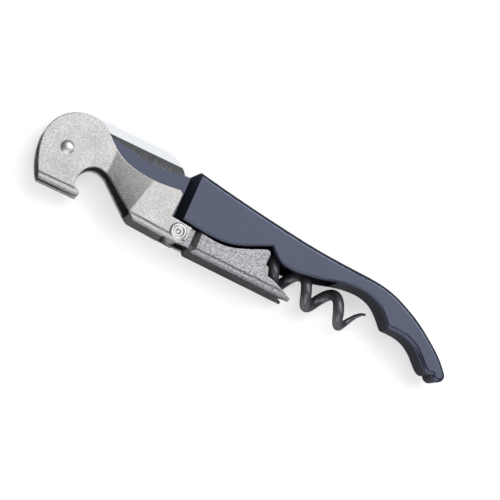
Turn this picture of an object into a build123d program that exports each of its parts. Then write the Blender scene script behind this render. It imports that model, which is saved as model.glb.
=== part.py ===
from build123d import *
import math
import os

# Sizes are in mm. The drawing frame has its origin on the head rivet, X toward the tail,
# Y toward the back of the handle and Z across the tool, with Z zero on the mid plane.

# Sheet and widths, all half widths measured from the mid plane
sheet = 1.1
head_inner = 3.2
wide_inner = 5.1
ear_play = 0.25
cheek_play = 0.25
handle_wall = 1.8
handle_tail_half = 4.4
blade_thick = 1.5
blade_play = 0.12

head_outer = head_inner + sheet
wide_outer = wide_inner + sheet
ear_outer = wide_inner - ear_play
ear_inner = ear_outer - sheet
tongue_half = head_inner - cheek_play
slot_half = blade_thick / 2 + blade_play
hook_play = 0.55
hook_slot_half = blade_thick / 2 + hook_play
handle_half = wide_inner + handle_wall

# Pivots
head_rivet_dia = 2.6
hinge_rivet_dia = 2.6
worm_pin_dia = 2.5
spring_pin_dia = 1.6
head_rivet_cap = 3.6
hinge_rivet_cap = 4.6
rivet_cap_high = 0.6
bush_dia = 4.4
run_play = 0.05
hinge_x = 34.0
hinge_y = -7.8
worm_pin_x = 41.0
worm_pin_y = -3.3

# Worm
wire_dia = 2.9
worm_od = 9.2
worm_pitch = 9.9
worm_tilt = 6.3
shank_length = 6.0
coil_trough = 16.6
coil_length = 41.4
point_dia = 0.6
taper_turns = 0.7

# Bends, floors and edge rounds
bend_radius = 1.7
head_floor_y = -10.1
rear_floor_start = -9.9
rear_floor_end = -10.6
second_floor_start = -11.15
second_floor_end = -11.75
top_round = 1.15
edge_round = 0.5

# Length that reaches past every outline, for cutting tools
beyond = 40.0

# Handle outline, side view
front_x = 31.8
front_bevel = 2.1
taper_start = 71.0
taper_end = 90.0
roof_thick = 1.6
channel_front = 36.2
channel_rear = 77.5
HANDLE_FRONT = [(front_x, -4.4), (front_x, 7.0), (33.4, 8.55)]
HANDLE_TOP = [
    (33.4, 8.55), (41.1, 7.25), (51.4, 5.7), (61.8, 4.35), (72.1, 3.35), (80.0, 3.2), (86.0, 3.15),
    (91.5, 2.4), (96.5, 0.65), (101.5, -1.8), (106.0, -4.7), (109.8, -7.6), (113.5, -11.6),
]
HANDLE_TIP = [(113.5, -11.6), (112.6, -13.95), (110.0, -13.05)]
HANDLE_GRIP = [
    (110.0, -13.05), (108.6, -13.2), (106.8, -12.0), (104.8, -10.0), (102.7, -8.4), (100.3, -7.35),
    (97.5, -6.95), (94.7, -6.95),
]
HANDLE_REAR = [
    (94.7, -6.95), (92.0, -4.0), (89.8, -2.25), (87.0, -1.15), (83.2, -0.85), (79.0, -1.4), (74.6, -2.55),
    (70.0, -3.65), (65.5, -4.25), (62.0, -4.0), (59.8, -2.9), (57.6, -0.9),
]
HANDLE_ARCH = [
    (57.6, -0.9), (54.5, -2.3), (51.0, -3.9), (48.0, -4.9), (44.5, -5.4), (40.0, -5.25), (35.5, -4.75),
    (front_x, -4.4),
]

# Tongue outline, side view
tongue_end_radius = 6.8
tongue_root_x = 33.6
TONGUE_TOP = [
    (tongue_root_x, 6.9), (30.0, 6.6), (26.1, 6.0), (20.9, 5.85), (15.7, 6.4), (12.0, 7.1), (8.0, 7.5),
]
TONGUE_LOW = [(8.2, -0.9), (11.2, -0.7), (14.2, -2.2), (20.0, -4.0), (tongue_root_x, -4.0)]
slot_end_x = 32.6

# Leaf spring between the cheeks and its two pins, side view
spring_tip = 0.35
SPRING_PINS = [(20.0, -1.4), (28.5, -1.8)]
SPRING_LOW = [(8.4, -0.5), (11.2, -0.3), (14.2, -1.6), (20.0, -3.2), (31.0, -3.2)]
SPRING_HIGH = [(31.0, -0.4), (20.0, 0.4), (12.0, 1.4), (7.0, 1.3)]

# Knife outline, side view
tang_radius = 4.5
spine_y = 10.9
grind_y = 8.7
edge_y = 2.4
edge_thick = 0.3
hollow_rise = 0.18
KNIFE_TIP = [(23.3, spine_y), (25.8, 10.5), (28.1, 9.4), (30.0, 7.9), (30.9, 6.3)]
KNIFE_BELLY = [(30.9, 6.3), (30.5, 4.9), (28.6, 3.3), (25.5, edge_y)]
serration_pitch = 1.2
serration_count = 13
serration_radius = 0.8

# First lever outline, side view
joggle_x = 11.7
joggle_end_x = 23.1
joggle_end_y = 1.2
joggle_lean = 0.244
rear_end_x = 36.9
tooth_x = 7.4
tooth_high = 0.9
notch_foot_x = 22.5
HEAD_ARC = [(7.3, 8.6), (-3.6, 7.7), (-6.85, 1.0)]
HEAD_LOW_ARC = [(-6.85, 1.0), (-5.95, -4.5), (-2.1, -11.6)]
NOTCH = [(5.4, -8.1), (5.35, -6.2), (5.9, -4.1), (7.1, -2.4), (9.1, -1.4), (11.2, -1.65), (13.7, -3.15)]
LEVER_TOP = [
    (30.4, 2.1), (26.8, 1.7), (24.3, 1.5), (21.7, 1.6), (19.1, 1.95), (16.6, 2.55), (14.1, 3.5),
    (11.6, 5.05), (9.3, 7.0), (7.3, 8.6),
]
LEVER_REAR = [(rear_end_x, -5.45), (31.0, -4.9), (31.25, 1.4)]

# Second lever outline, side view
ear_radius = 2.5
flare_start = 38.2
flare_end = 39.8
fork_end_x = 67.2
fork_radius = 4.2
fork_set_back = 1.6
SECOND_TOP = [
    (flare_end, -5.6), (42.4, -5.9), (44.9, -6.0), (47.5, -5.7), (50.1, -4.95), (52.7, -3.9), (55.3, -2.7),
    (56.5, -2.2),
]
SECOND_CORNER = (57.75, -2.35)
SECOND_END = [
    (fork_end_x, -11.15), (66.1, -10.75), (64.6, -9.95), (61.3, -8.6), (58.9, -8.1), (58.0, -7.4),
    (58.1, -3.2),
]


def face_of(*curves):
    """Flat face bounded by curves that meet end to end."""
    edges = []
    for curve in curves:
        edges.extend(curve.edges())
    return make_face(edges)


def across(face, half):
    """Side view face pulled out to both sides of the mid plane."""
    return extrude(Pos(0, 0, -half) * face, amount=2 * half)


def plan_face(points, y):
    """Plan view polygon, mirrored about the mid plane, at height y."""
    ring = points + [(x, -z) for x, z in reversed(points)]
    plane = Plane(origin=(0, y, 0), x_dir=(1, 0, 0), z_dir=(0, -1, 0))
    return plane * make_face(Polyline(*ring, close=True).edges())


def trough_block(half, x0, floor0, x1, floor1, radius):
    """Long block above a floor line from (x0, floor0) to (x1, floor1), lower edges rounded."""
    length = math.hypot(x1 - x0, floor1 - floor0)
    lean = ((x1 - x0) / length, (floor1 - floor0) / length, 0)
    plane = Plane(origin=(x0, floor0, 0), x_dir=(0, 0, -1), z_dir=lean)
    section = Pos(0, beyond / 2) * Rectangle(2 * half, beyond)
    section = fillet(section.vertices().sort_by(Axis.Y)[:2], radius)
    return extrude(plane * section, amount=length)


def rod(x, y, dia, z0, z1):
    """Cylinder along Z between two levels."""
    return Pos(x, y, (z0 + z1) / 2) * Cylinder(dia / 2, z1 - z0)


def tube(x, y, outer_dia, inner_dia, z0, z1):
    return rod(x, y, outer_dia, z0, z1) - rod(x, y, inner_dia, -beyond, beyond)


def handle_block():
    """Outer form of the handle: side outline crossed with a plan that narrows toward the tail."""
    side = face_of(
        Polyline(*HANDLE_FRONT),
        Spline(*HANDLE_TOP),
        ThreePointArc(*HANDLE_TIP),
        Spline(*HANDLE_GRIP),
        Spline(*HANDLE_REAR),
        Spline(*HANDLE_ARCH),
    )
    tail_root = handle_tail_half + 0.3
    beyond_tip = HANDLE_TIP[0][0] + 3
    bevel = Polyline(
        (front_x, tongue_half), (front_x + front_bevel, handle_half), (taper_start, handle_half)
    )
    taper = Spline(
        (taper_start, handle_half),
        ((taper_start + taper_end) / 2, (handle_half + tail_root) / 2),
        (taper_end, tail_root),
        tangents=[(1, 0), (1, -0.02)],
    )
    tail = Line((taper_end, tail_root), (beyond_tip, handle_tail_half))
    near = [bevel, taper, tail]
    far = [mirror(curve, about=Plane.XZ) for curve in near]
    caps = [
        Line((front_x, -tongue_half), (front_x, tongue_half)),
        Line((beyond_tip, -handle_tail_half), (beyond_tip, handle_tail_half)),
    ]
    plan = extrude(Plane.XZ.offset(-beyond) * face_of(*near, *far, *caps), amount=2 * beyond)
    return across(side, beyond) & plan


def handle_rims(block):
    """Long outer edges of the block, split into those of the back and tail and those of the channel."""
    soft = []
    crisp = []
    for edge in block.edges():
        middle = edge.position_at(0.5)
        if abs(middle.Z) < handle_tail_half - 0.5 or edge.bounding_box().size.X < 1.5:
            continue
        if middle.X < front_x + front_bevel + 0.5:
            continue
        on_back = middle.Y > HANDLE_TIP[2][1] and middle.Y > lower_line(middle.X) + 1
        if on_back or middle.X > HANDLE_GRIP[-1][0]:
            soft.append(edge)
        else:
            crisp.append(edge)
    return soft, crisp


def lower_line(x):
    """Height of the lower outline of the handle at x, by straight steps between its points."""
    chain = sorted(HANDLE_GRIP + HANDLE_REAR + HANDLE_ARCH)
    for (xa, ya), (xb, yb) in zip(chain, chain[1:]):
        if xa <= x <= xb and xb > xa:
            return ya + (yb - ya) * (x - xa) / (xb - xa)
    return chain[-1][1]


def channel():
    """Space under the roof of the handle that takes the worm."""
    roof = [(x, y - roof_thick) for x, y in HANDLE_TOP if channel_front < x < channel_rear]
    first = (channel_front, roof[0][1] + 0.6)
    last = (channel_rear, roof[-1][1] - 1.2)
    foot = [(channel_rear, -beyond), (channel_front, -beyond)]
    face = face_of(Polyline(first, *roof, last, *foot, close=True))
    return across(face, wide_inner)


def tongue():
    """Two cheeks in front of the handle, with the knife slot between them."""
    radius = tongue_end_radius
    low_start = (radius * math.cos(-0.35), radius * math.sin(-0.35))
    side = face_of(
        Spline(*TONGUE_TOP),
        ThreePointArc(TONGUE_TOP[-1], (4.2, 7.4), (0, radius)),
        ThreePointArc((0, radius), (-radius, 0), (0, -radius)),
        ThreePointArc((0, -radius), (radius * math.cos(-0.9), radius * math.sin(-0.9)), low_start),
        Polyline(low_start, *TONGUE_LOW, TONGUE_TOP[0]),
    )
    return across(side, tongue_half)


def handle():
    block = handle_block()
    block = fillet(handle_rims(block)[0], top_round)
    block = fillet(handle_rims(block)[1], edge_round)
    body = block - channel() + tongue()
    slot = Pos((slot_end_x - beyond) / 2, 0, 0) * Box(slot_end_x + beyond, 2 * beyond, 2 * slot_half)
    body = body - slot
    body = body - rod(0, 0, head_rivet_dia + 2 * run_play, -beyond, beyond)
    body = body - rod(worm_pin_x, worm_pin_y, worm_pin_dia, -beyond, beyond)
    for x, y in SPRING_PINS:
        body = body - rod(x, y, spring_pin_dia, -beyond, beyond)
    return body


def knife_blade():
    """Foil knife with a round tang, hollow ground on both sides, scalloped along the edge."""
    heel = (7.5, edge_y)
    tang_top = (tang_radius * math.cos(0.3), tang_radius * math.sin(0.3))
    side = face_of(
        Line((2.0, spine_y), KNIFE_TIP[0]),
        Spline(*KNIFE_TIP),
        Spline(*KNIFE_BELLY),
        Polyline(KNIFE_BELLY[-1], heel, tang_top),
        ThreePointArc(tang_top, (0, -tang_radius), (-tang_radius, 0)),
        ThreePointArc((-tang_radius, 0), (-2.9, 6.6), (2.0, spine_y)),
    )
    half = blade_thick / 2
    blade = across(side, half)
    low = edge_y - 1
    thin = edge_thick / 2
    face = face_of(
        ThreePointArc((grind_y, half), ((grind_y + edge_y) / 2, thin + hollow_rise), (low, thin)),
        Polyline((low, thin), (low, half), (grind_y, half)),
    )
    grind = extrude(Plane.YZ.offset(heel[0] + 0.8) * face, amount=40)
    blade = blade - grind - mirror(grind, about=Plane.XY)
    for i in range(serration_count):
        x = heel[0] + 2.2 + i * serration_pitch
        blade = blade - rod(x, edge_y - 0.45, 2 * serration_radius, -half, half)
    return blade - rod(0, 0, head_rivet_dia + 2 * run_play, -half - 1, half + 1)


def knife_spring():
    """Leaf between the cheeks, its curved end close to the round of the tang."""
    inner = tang_radius + 2 * run_play
    outer = tongue_end_radius - 0.4
    top = (inner * math.cos(0.1), inner * math.sin(0.1))
    tip_in = (inner * math.cos(spring_tip), -inner * math.sin(spring_tip))
    tip_out = (outer * math.cos(spring_tip), -outer * math.sin(spring_tip))
    back = (outer * math.cos(-0.2), outer * math.sin(-0.2))
    side = face_of(
        ThreePointArc(top, (inner * math.cos(-0.1), inner * math.sin(-0.1)), tip_in),
        Line(tip_in, tip_out),
        Line(tip_out, back),
        Polyline(back, *SPRING_LOW, *SPRING_HIGH, top),
    )
    leaf = across(side, blade_thick / 2)
    for x, y in SPRING_PINS:
        leaf = leaf - rod(x, y, spring_pin_dia, -5, 5)
    return leaf


def spring_pins():
    pins = [rod(x, y, spring_pin_dia, -tongue_half, tongue_half) for x, y in SPRING_PINS]
    return pins[0] + pins[1:]


def domed_rivet(dia, grip, head_dia, head_high):
    """Rivet with a low dome on each end."""
    body = rod(0, 0, dia, -grip, grip)
    ball = (head_high**2 + (head_dia / 2) ** 2) / (2 * head_high)
    cap = rod(0, 0, head_dia, grip, grip + head_high) & (Pos(0, 0, grip + head_high - ball) * Sphere(ball))
    return body + cap + mirror(cap, about=Plane.XY)


def rolled_rivet(dia, grip, head_dia, head_high):
    """Hollow rivet with a rolled ring on each end and a dimple inside the ring."""
    body = rod(0, 0, dia, -grip, grip)
    ring = Pos(0, 0, grip) * Torus(head_dia / 2 - head_high, head_high)
    ring = ring & rod(0, 0, head_dia + 2, grip, grip + head_high + 1)
    cap = ring + rod(0, 0, head_dia - 2 * head_high, grip, grip + head_high / 2)
    dimple = Cone(dia / 8, dia / 3.2, head_high, align=(Align.CENTER, Align.CENTER, Align.MAX))
    dimple = Pos(0, 0, grip + head_high / 2) * dimple
    body = body + cap + mirror(cap, about=Plane.XY)
    return body - dimple - mirror(dimple, about=Plane.XY)


def lever_shell(narrow, wide, floor_gap, radius):
    """Joggled block of the first lever, bounded below by its two floors."""
    sections = []
    front = -beyond / 2
    rear_x = rear_end_x + beyond / 4
    for y in (-beyond / 2, beyond / 2):
        x_end = joggle_end_x + joggle_lean * (y - joggle_end_y)
        sections.append(plan_face([(front, narrow), (joggle_x, narrow), (x_end, wide), (rear_x, wide)], y))
    plan = loft(sections, ruled=True)
    head = trough_block(narrow, front, head_floor_y + floor_gap, joggle_x, head_floor_y + floor_gap, radius)
    slope = (rear_floor_end - rear_floor_start) / (hinge_x - notch_foot_x)
    start_x = joggle_x - 2 * sheet
    start = rear_floor_start + slope * (start_x - notch_foot_x) + floor_gap
    end = rear_floor_end + slope * (rear_x - hinge_x) + floor_gap
    rear = trough_block(wide, start_x, start, rear_x, end, radius)
    return plan & (head + rear)


def first_lever():
    tooth_y = head_floor_y + tooth_high
    foot = (notch_foot_x, rear_floor_start)
    ear = rear_end_x - hinge_x
    side = face_of(
        ThreePointArc(*HEAD_ARC),
        ThreePointArc(*HEAD_LOW_ARC),
        Polyline(HEAD_LOW_ARC[-1], (tooth_x, HEAD_LOW_ARC[-1][1]), (tooth_x, tooth_y), NOTCH[0]),
        Spline(*NOTCH),
        Polyline(NOTCH[-1], foot, (notch_foot_x + 0.6, -12), (hinge_x, -12), (hinge_x, hinge_y - ear)),
        ThreePointArc(
            (hinge_x, hinge_y - ear),
            (hinge_x + ear * math.sqrt(0.5), hinge_y - ear * math.sqrt(0.5)),
            (rear_end_x, hinge_y),
        ),
        Polyline((rear_end_x, hinge_y), *LEVER_REAR, LEVER_TOP[0]),
        Spline(*LEVER_TOP),
    )
    outer = lever_shell(head_outer, wide_outer, 0, bend_radius)
    inner = lever_shell(head_inner, wide_inner, sheet, bend_radius - sheet)
    lever = (across(side, beyond) & outer) - inner
    knife_slot = Pos(0, -10, 0) * Box(30, 8, 2 * hook_slot_half)
    lever = lever - knife_slot
    ear_gap = ear_radius + 0.5
    width = rear_end_x - hinge_x + ear_gap + 2
    window = Pos(hinge_x - ear_gap + width / 2, -12, 0) * Box(width, 6, 2 * (ear_outer + 0.1))
    lever = lever - window
    lever = lever - rod(0, 0, head_rivet_dia, -beyond, beyond)
    return lever - rod(hinge_x, hinge_y, hinge_rivet_dia, -beyond, beyond)


def second_lever():
    top = hinge_y + ear_radius
    low = hinge_y - ear_radius
    under = second_floor_end - 1
    flare_foot = (flare_end, second_floor_start - 0.1)
    side = face_of(
        ThreePointArc((hinge_x, top), (hinge_x - ear_radius, hinge_y), (hinge_x, low)),
        Polyline((hinge_x, low), (flare_start, low)),
        ThreePointArc((flare_start, low), (flare_start + 0.45, second_floor_start + 0.35), flare_foot),
        Polyline(flare_foot, (flare_end, under), (fork_end_x, under), *SECOND_END),
        ThreePointArc(SECOND_END[-1], SECOND_CORNER, SECOND_TOP[-1]),
        Spline(*reversed(SECOND_TOP)),
        Polyline(SECOND_TOP[0], (flare_start - 0.4, top), (hinge_x, top)),
    )
    front = hinge_x - 2 * ear_radius
    rear = fork_end_x + 2 * fork_radius
    points = [(front, ear_outer), (flare_start, ear_outer), (flare_end, wide_outer), (rear, wide_outer)]
    plan = extrude(plan_face(points, beyond / 2), amount=beyond)
    slope = (second_floor_end - second_floor_start) / (fork_end_x - flare_start)
    start_y = second_floor_start + slope * (front - flare_start)
    end_y = second_floor_end + slope * (rear - fork_end_x)
    trough = trough_block(wide_outer, front, start_y, rear, end_y, bend_radius)
    points = [(front, ear_inner), (flare_start, ear_inner), (flare_end, wide_inner), (rear, wide_inner)]
    hollow_plan = extrude(plan_face(points, beyond / 2), amount=beyond)
    hollow = trough_block(wide_inner, front, start_y + sheet, rear, end_y + sheet, bend_radius - sheet)
    lever = (across(side, beyond) & plan & trough) - (hollow_plan & hollow)
    ear_space = Pos(flare_start - beyond / 2, hinge_y, 0) * Box(beyond, beyond, 2 * ear_inner)
    lever = lever - ear_space
    recess = Rot(90, 0, 0) * Cylinder(fork_radius, 8 * sheet)
    lever = lever - Pos(fork_end_x + fork_set_back, second_floor_end, 0) * recess
    return lever - rod(hinge_x, hinge_y, hinge_rivet_dia + 2 * run_play, -beyond, beyond)


def hinge_bush():
    return tube(hinge_x, hinge_y, bush_dia, hinge_rivet_dia + 2 * run_play, -ear_inner, ear_inner)


def worm_spacer(side):
    inner = wire_dia / 2 + 2 * run_play
    body = tube(worm_pin_x, worm_pin_y, bush_dia, worm_pin_dia, inner, wide_inner)
    if side < 0:
        body = mirror(body, about=Plane.XY)
    return body


def biarc(p0, t0, p1, t1):
    """Two tangent arcs from p0 along t0 to p1 along t1."""
    v = p1 - p0
    t = t0 + t1
    bend = 2 * (1 - t0.dot(t1))
    if bend < 1e-9:
        reach = v.dot(v) / (2 * v.dot(t))
    else:
        reach = (-v.dot(t) + math.sqrt(v.dot(t) ** 2 + bend * v.dot(v))) / bend
    joint = (p0 + p1 + (t0 - t1) * reach) * 0.5
    heading = (p1 - p0 - t * reach).normalized()
    return [TangentArc(p0, joint, tangent=t0), TangentArc(joint, p1, tangent=heading)]


def helix_angle(s):
    return math.pi + 2 * math.pi * (s - shank_length - coil_trough) / worm_pitch


def helix_point(s):
    """Centre of the wire at axial place s: the radius grows from the shank to the full coil."""
    full = (worm_od - wire_dia) / 2
    grow = min(max((s - shank_length) / (0.62 * worm_pitch), 0), 1)
    radius = full * grow * grow * (3 - 2 * grow)
    angle = helix_angle(s)
    return Vector(s, radius * math.cos(angle), radius * math.sin(angle))


def helix_heading(s):
    step = 1e-4
    ahead = helix_point(s + step)
    behind = helix_point(s - step)
    return (ahead - behind).normalized()


def self_gap(wire):
    """Least gap between stretches of the wire that lie well apart along it, measured on points."""
    count = 240
    points = [wire.position_at(i / count) for i in range(count + 1)]
    apart = math.ceil(3 * wire_dia / wire.length * count)
    gaps = [(points[i] - points[j]).length for i in range(count + 1) for j in range(i + apart, count + 1)]
    return min(gaps) - wire_dia


def worm():
    """One wire: open eye around the pin, shank on the axis, right hand helix, ground point."""
    ring = worm_pin_dia / 2 + run_play + wire_dia / 2
    eye_start = math.radians(-60)
    eye_end = math.radians(30)
    start = Vector(ring * math.cos(eye_start), ring * math.sin(eye_start), 0)
    far_side = Vector(-ring, 0, 0)
    leave = Vector(ring * math.cos(eye_end), ring * math.sin(eye_end), 0)
    neck = Vector(2 * ring * math.cos(eye_end), 0, 0)
    low = Vector(ring * math.cos(math.radians(-120)), ring * math.sin(math.radians(-120)), 0)
    high = Vector(ring * math.cos(math.radians(105)), ring * math.sin(math.radians(105)), 0)
    leave_dir = Vector(math.sin(eye_end), -math.cos(eye_end), 0)
    path = [
        ThreePointArc(start, low, far_side),
        ThreePointArc(far_side, high, leave),
        TangentArc(leave, neck, tangent=leave_dir),
        Line(neck, (shank_length, 0, 0)),
    ]
    worm_length = shank_length + coil_length
    taper_start = worm_length - taper_turns * worm_pitch
    count = math.ceil((taper_start - shank_length) / (worm_pitch / 6))
    places = [shank_length + (taper_start - shank_length) * i / count for i in range(count + 1)]
    for a, b in zip(places, places[1:]):
        path.extend(biarc(helix_point(a), helix_heading(a), helix_point(b), helix_heading(b)))
    wire = Wire([edge for curve in path for edge in curve.edges()])
    begin_dir = Vector(math.sin(eye_start), -math.cos(eye_start), 0)
    section = Plane(origin=start, z_dir=begin_dir) * Circle(wire_dia / 2)
    body = sweep(section, path=wire)
    print("worm wire length", round(wire.length, 2), "least gap to itself", round(self_gap(wire), 3))
    rings = []
    steps = 9
    for i in range(steps + 1):
        part = i / steps
        s = taper_start + (worm_length - taper_start) * part
        dia = wire_dia + (point_dia - wire_dia) * part**1.15
        rings.append(Plane(origin=helix_point(s), z_dir=helix_heading(s)) * Circle(dia / 2))
    point = loft(rings)
    body = body + point
    return Pos(worm_pin_x, worm_pin_y, 0) * Rot(0, 0, -worm_tilt) * body


hinge_place = Pos(hinge_x, hinge_y, 0)
nodes = {
    "handle_body": handle(),
    "knife_blade": knife_blade(),
    "knife_spring": knife_spring(),
    "spring_pins": spring_pins(),
    "head_rivet": domed_rivet(head_rivet_dia, head_outer, head_rivet_cap, rivet_cap_high),
    "hinge_rivet": hinge_place * rolled_rivet(hinge_rivet_dia, wide_outer, hinge_rivet_cap, rivet_cap_high),
    "first_lever": first_lever(),
    "second_lever": second_lever(),
    "hinge_bush": hinge_bush(),
    "worm": worm(),
    "worm_pin": rod(worm_pin_x, worm_pin_y, worm_pin_dia, -handle_half, handle_half),
    "worm_spacer_near": worm_spacer(1),
    "worm_spacer_far": worm_spacer(-1),
}
boxes = [node.bounding_box() for node in nodes.values()]
x_mid = (min(b.min.X for b in boxes) + max(b.max.X for b in boxes)) / 2
y_mid = (min(b.min.Y for b in boxes) + max(b.max.Y for b in boxes)) / 2
z_low = min(b.min.Z for b in boxes)
place = Pos(-x_mid, -y_mid, -z_low)
os.makedirs("parts", exist_ok=True)
for name, node in nodes.items():
    print(name, len(node.solids()), node.is_valid, round(node.volume, 2))
    export_step(place * node, "parts/" + name + ".step")
print("shift", -x_mid, -y_mid, -z_low)
size = [max(getattr(b.max, a) for b in boxes) - min(getattr(b.min, a) for b in boxes) for a in "XYZ"]
print("size", size)
for name, x, y in (("head rivet", 0, 0), ("hinge", hinge_x, hinge_y), ("worm pin", worm_pin_x, worm_pin_y)):
    print(name, round(x - x_mid, 4), round(y - y_mid, 4), round(-z_low, 4))
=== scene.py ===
"""Lever corkscrew, folded: finishes for its CAD nodes, a studio and a camera."""
import math

import bpy
from mathutils import Matrix, Vector

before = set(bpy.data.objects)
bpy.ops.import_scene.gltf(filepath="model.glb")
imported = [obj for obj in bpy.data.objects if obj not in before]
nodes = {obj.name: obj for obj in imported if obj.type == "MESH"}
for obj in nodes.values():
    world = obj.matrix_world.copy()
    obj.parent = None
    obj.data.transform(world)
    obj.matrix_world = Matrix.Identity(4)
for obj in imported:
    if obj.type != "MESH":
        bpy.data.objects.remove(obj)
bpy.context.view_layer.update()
MM = 0.001
WHITE = "#ffffff"


def srgb(code):
    """Linear colour from an sRGB hex code."""
    parts = [int(code[i:i + 2], 16) / 255 for i in (1, 3, 5)]
    return [p / 12.92 if p <= 0.04045 else ((p + 0.055) / 1.055) ** 2.4 for p in parts] + [1.0]


def add(tree, kind, settings=(), links=()):
    """New shader node.

    Settings go to its properties or else to its input sockets. Links come from output sockets.
    """
    made = tree.nodes.new(kind)
    for key, value in dict(settings).items():
        if isinstance(key, str) and hasattr(made, key):
            setattr(made, key, value)
        else:
            made.inputs[key].default_value = value
    for key, source in dict(links).items():
        tree.links.new(source, made.inputs[key])
    return made


def start_material(name):
    """Empty material with its output node."""
    material = bpy.data.materials.new(name)
    material.use_nodes = True
    tree = material.node_tree
    tree.nodes.clear()
    return material, tree, add(tree, "ShaderNodeOutputMaterial")


# Nearly all values of a noise pattern lie between these two.
NOISE_LOW = 0.3
NOISE_HIGH = 0.7


def close_material(tree, output, tones, toned_by, rough, hazed_by, bump, settings):
    """Shader that ends every finish: two tones mixed by one pattern, from smooth to dull by another."""
    dark, light = tones
    smooth, dull = rough
    tint = add(tree, "ShaderNodeMix", {"data_type": "RGBA", "A": srgb(dark), "B": srgb(light)},
               {"Factor": toned_by})
    haze = add(tree, "ShaderNodeMapRange",
               {"From Min": NOISE_LOW, "From Max": NOISE_HIGH, "To Min": smooth, "To Max": dull},
               {"Value": hazed_by})
    shader = add(tree, "ShaderNodeBsdfPrincipled", settings,
                 {"Base Color": tint.outputs[2], "Roughness": haze.outputs["Result"],
                  "Normal": bump.outputs["Normal"]})
    tree.links.new(shader.outputs["BSDF"], output.inputs["Surface"])


# Satin nickel plate on pressed steel, tumbled before plating.
# The tumbling leaves a fine even grain that breaks the reflections into small specks, in soft clouds
# of smoother and duller plate. The real grain is finer and is drawn at the size that still shows.
# The cut edges are worn soft by the tumbling, so they carry a thin line of light.
# Seen at a low angle, the plate is greyer than a clean mirror.
NICKEL_GRAIN_MM = 0.42
NICKEL_GRAIN_DEPTH_MM = 0.03
NICKEL_GRAIN_BUMP = 0.12
NICKEL_GRAIN_DARKEST = 0.35
NICKEL_GRAIN_LIGHTEST = 0.65
NICKEL_CLOUD_MM = 5.0
NICKEL_EASE_MM = 0.4
NICKEL_EASE_SAMPLES = 8
NICKEL_LOW_ANGLE = "#808080"


def tumbled_nickel(name, tones, rough, streak):
    material, tree, output = start_material(name)
    place = add(tree, "ShaderNodeTexCoord")
    drawn = add(tree, "ShaderNodeMapping", {"Scale": (streak, 1.0, 1.0)},
                {"Vector": place.outputs["Object"]})
    grain = add(tree, "ShaderNodeTexNoise",
                {"Scale": 1 / (NICKEL_GRAIN_MM * MM), "Detail": 2.0, "Roughness": 0.6},
                {"Vector": drawn.outputs["Vector"]})
    cloud = add(tree, "ShaderNodeTexNoise", {"Scale": 1 / (NICKEL_CLOUD_MM * MM), "Detail": 2.0},
                {"Vector": drawn.outputs["Vector"]})
    specks = add(tree, "ShaderNodeMapRange",
                 {"From Min": NICKEL_GRAIN_DARKEST, "From Max": NICKEL_GRAIN_LIGHTEST},
                 {"Value": grain.outputs["Fac"]})
    worn = add(tree, "ShaderNodeBevel",
               {"samples": NICKEL_EASE_SAMPLES, "Radius": NICKEL_EASE_MM * MM})
    bump = add(tree, "ShaderNodeBump",
               {"Strength": NICKEL_GRAIN_BUMP, "Distance": NICKEL_GRAIN_DEPTH_MM * MM},
               {"Height": grain.outputs["Fac"], "Normal": worn.outputs["Normal"]})
    close_material(tree, output, tones, specks.outputs["Result"], rough, cloud.outputs["Fac"], bump,
                   {"Metallic": 1.0, "Specular Tint": srgb(NICKEL_LOW_ANGLE)})
    return material


# Bare or bright plated steel with the marks of the tool that finished it.
# The marks vary the sharpness of the highlights, and those that lie in one direction stretch them
# across it. The real marks are finer and are drawn as coarse as they need to show.
STEEL_MARK_BUMP = 0.1


def worked_steel(name, tones, rough, mark_mm, across, depth_mm):
    material, tree, output = start_material(name)
    place = add(tree, "ShaderNodeTexCoord")
    drawn = add(tree, "ShaderNodeMapping", {"Scale": across}, {"Vector": place.outputs["Object"]})
    marks = add(tree, "ShaderNodeTexNoise", {"Scale": 1 / (mark_mm * MM), "Detail": 3.0},
                {"Vector": drawn.outputs["Vector"]})
    bump = add(tree, "ShaderNodeBump", {"Strength": STEEL_MARK_BUMP, "Distance": depth_mm * MM},
               {"Height": marks.outputs["Fac"]})
    close_material(tree, output, tones, marks.outputs["Fac"], rough, marks.outputs["Fac"], bump,
                   {"Metallic": 1.0})
    return material


# Stoved paint: sprayed, then baked to a half-gloss surface.
# The spray leaves a very soft orange peel, so the broad highlights waver a little, and handling has
# polished it in patches. A fine metal flake in the paint makes faces turned to the light blue-grey
# and those turned away nearly black.
PEEL_MM = 1.6
PEEL_DEPTH_MM = 0.02
PEEL_BUMP = 0.08
HANDLED_MM = 14.0
FLAKE_LOW_ANGLE = "#505058"


def stoved_paint(name, tones, rough, shine, flake):
    material, tree, output = start_material(name)
    place = add(tree, "ShaderNodeTexCoord")
    peel = add(tree, "ShaderNodeTexNoise", {"Scale": 1 / (PEEL_MM * MM), "Detail": 1.0},
               {"Vector": place.outputs["Object"]})
    handled = add(tree, "ShaderNodeTexNoise", {"Scale": 1 / (HANDLED_MM * MM), "Detail": 2.0},
                  {"Vector": place.outputs["Object"]})
    bump = add(tree, "ShaderNodeBump", {"Strength": PEEL_BUMP, "Distance": PEEL_DEPTH_MM * MM},
               {"Height": peel.outputs["Fac"]})
    close_material(tree, output, tones, handled.outputs["Fac"], rough, handled.outputs["Fac"], bump,
                   {"Specular IOR Level": shine, "Metallic": flake,
                    "Specular Tint": srgb(FLAKE_LOW_ANGLE)})
    return material


# First section: the grain is even in all directions.
nickel = tumbled_nickel("tumbled_nickel_plate", tones=("#9d9c9c", "#bab8b7"), rough=(0.22, 0.33),
                        streak=1.0)
# Second section: drawn deeper, so its grain is stretched into short streaks along the piece.
nickel_streaked = tumbled_nickel("drawn_nickel_plate", tones=("#747276", "#a8a6aa"),
                                 rough=(0.22, 0.33), streak=0.7)
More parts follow.
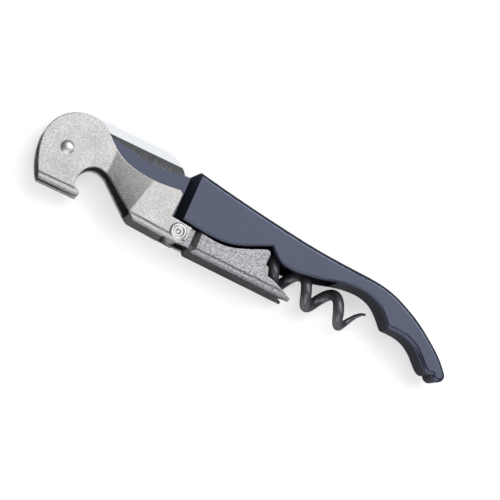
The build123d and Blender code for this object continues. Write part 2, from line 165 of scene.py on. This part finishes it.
# Rivets: bright plate, burnished by the riveting tool into small even facets.
rivet_plate = worked_steel("burnished_rivet_plate", tones=("#cbcbcd", "#dededf"), rough=(0.34, 0.43),
                           mark_mm=0.5, across=(1.0, 1.0, 1.0), depth_mm=0.02)
# Knife: stainless steel, ground across the blade and polished, so a trace of the grinding lines is left.
blade_steel = worked_steel("polished_blade_steel", tones=("#b0b2b5", "#babcbf"), rough=(0.07, 0.16),
                           mark_mm=0.4, across=(1.0, 0.06, 0.06), depth_mm=0.008)
# Leaf spring and its pins: steel with the lines of the rolls, tempered to a brownish grey.
spring_steel = worked_steel("tempered_spring_steel", tones=("#7d7a78", "#9a958f"), rough=(0.34, 0.43),
                            mark_mm=0.6, across=(0.08, 1.0, 1.0), depth_mm=0.02)
# Bush and spacers: turned on a lathe, with rings round the axis.
turned_steel = worked_steel("turned_steel", tones=("#98989b", "#b4b4b6"), rough=(0.29, 0.38),
                            mark_mm=0.35, across=(0.06, 0.06, 1.0), depth_mm=0.02)
# Handle, a zinc casting, and the worm pin's ends, painted over with it: blue-black metallic enamel.
enamel = stoved_paint("metallic_stoving_enamel", tones=("#4a4e5d", "#505463"), rough=(0.16, 0.23),
                      shine=0.45, flake=0.75)
# Worm: black low friction coating, baked on.
coating = stoved_paint("baked_low_friction_coating", tones=("#5c5d62", "#6a6b70"), rough=(0.23, 0.30),
                       shine=0.6, flake=0.6)

FINISH = {
    "handle_body": enamel,
    "worm_pin": enamel,
    "first_lever": nickel,
    "second_lever": nickel_streaked,
    "head_rivet": rivet_plate,
    "hinge_rivet": rivet_plate,
    "knife_blade": blade_steel,
    "knife_spring": spring_steel,
    "spring_pins": spring_steel,
    "hinge_bush": turned_steel,
    "worm_spacer_near": turned_steel,
    "worm_spacer_far": turned_steel,
    "worm": coating,
}
for node_name, finish in FINISH.items():
    mesh = nodes[node_name].data
    mesh.materials.clear()
    mesh.materials.append(finish)

# White paper floor. It takes the shadow, and the camera and the metals see it brighter than the lamps
# light it.
FLOOR_SIZE = 4.0
CAMERA_LIFT = 0.4
MIRROR_LIFT = 0.06
bpy.ops.object.select_all(action="DESELECT")
bpy.ops.mesh.primitive_plane_add(size=FLOOR_SIZE, location=(0, 0, 0))
floor = bpy.context.object
floor.name = "floor"
floor_paper, tree, output = start_material("white_paper_floor")
paper = add(tree, "ShaderNodeBsdfDiffuse", {"Color": srgb(WHITE)})
ray = add(tree, "ShaderNodeLightPath")
mirrored = add(tree, "ShaderNodeMath", {"operation": "MAXIMUM"},
               {0: ray.outputs["Is Glossy Ray"], 1: ray.outputs["Is Transmission Ray"]})
dimmed = add(tree, "ShaderNodeMath", {"operation": "MULTIPLY", 1: MIRROR_LIFT},
             {0: mirrored.outputs["Value"]})
amount = add(tree, "ShaderNodeMath", {"operation": "MULTIPLY_ADD", 1: CAMERA_LIFT},
             {0: ray.outputs["Is Camera Ray"], 2: dimmed.outputs["Value"]})
lift = add(tree, "ShaderNodeEmission", {"Color": srgb(WHITE)}, {"Strength": amount.outputs["Value"]})
both = add(tree, "ShaderNodeAddShader", {}, {0: paper.outputs["BSDF"], 1: lift.outputs["Emission"]})
tree.links.new(both.outputs["Shader"], output.inputs["Surface"])
floor.data.materials.append(floor_paper)

# Soft studio light: a dim even room, a broad softbox overhead that the flat faces mirror, a strip
# behind it that draws the light line along the handle's upper edge, and two dimmer ones in front
# that light the bends of the lever pressings. Places and sizes are in metres.
ROOM_LIGHT = 0.18
world = bpy.data.worlds.new("studio_room")
bpy.context.scene.world = world
world.use_nodes = True
tree = world.node_tree
tree.nodes.clear()
output = add(tree, "ShaderNodeOutputWorld")
room = add(tree, "ShaderNodeBackground", {"Color": srgb(WHITE), "Strength": ROOM_LIGHT})
tree.links.new(room.outputs["Background"], output.inputs["Surface"])


def softbox(name, wide, tall, glow, place, facing):
    """Rectangular lamp of even glow; facing points from the object to the lamp's back."""
    lamp = bpy.data.lights.new(name, "AREA")
    lamp.shape = "RECTANGLE"
    lamp.size = wide
    lamp.size_y = tall
    lamp.energy = glow * math.pi * wide * tall
    holder = bpy.data.objects.new(name, lamp)
    bpy.context.scene.collection.objects.link(holder)
    turned = Vector(facing).to_track_quat("Z", "Y").to_matrix().to_4x4()
    holder.matrix_world = Matrix.Translation(Vector(place)) @ turned


softbox("overhead_softbox", wide=1.07, tall=0.55, glow=1.65,
        place=(0.36, 0.26, 0.60), facing=(0.0, 0.55, 0.835))
softbox("ridge_strip", wide=0.6, tall=0.16, glow=2.2,
        place=(0.10, 0.37, 0.47), facing=(0.12, 0.6, 0.79))
softbox("bend_strip", wide=0.7, tall=0.14, glow=1.8,
        place=(0.10, -0.32, 0.55), facing=(0.16, -0.5, 0.85))
softbox("front_strip", wide=0.8, tall=0.46, glow=1.5,
        place=(0.12, -0.60, 0.32), facing=(0.16, -0.84, 0.45))

# Camera at the photo's angle: above the tool, a little toward the head and the worm side.
# TURN is how far the tool lies turned in the picture, FIELD is the width seen at the target.
TURN = math.radians(25.45)
FIELD = 127.6 * MM
LENS = 130.0
SENSOR = 36.0
CLIP_START = 0.01
TARGET = Vector((-0.36, -2.15, 11.2)) * MM
SIDE_LEAN = 0.165
LOW_LEAN = 0.1975
toward = Vector((-SIDE_LEAN, -LOW_LEAN, math.sqrt(1 - SIDE_LEAN**2 - LOW_LEAN**2)))
along = (Vector((1, 0, 0)) - toward * toward.x).normalized()
beside = toward.cross(along)
right = along * math.cos(TURN) + beside * math.sin(TURN)
above = toward.cross(right)
camera = bpy.data.cameras.new("photo_camera")
camera.lens = LENS
camera.sensor_width = SENSOR
camera.clip_start = CLIP_START
camera_object = bpy.data.objects.new("photo_camera", camera)
bpy.context.scene.collection.objects.link(camera_object)
spot = TARGET + toward * (FIELD * LENS / SENSOR)
turned = Matrix((right, above, toward)).transposed().to_4x4()
camera_object.matrix_world = Matrix.Translation(spot) @ turned
bpy.context.scene.camera = camera_object

bpy.context.scene.view_settings.view_transform = "Standard"
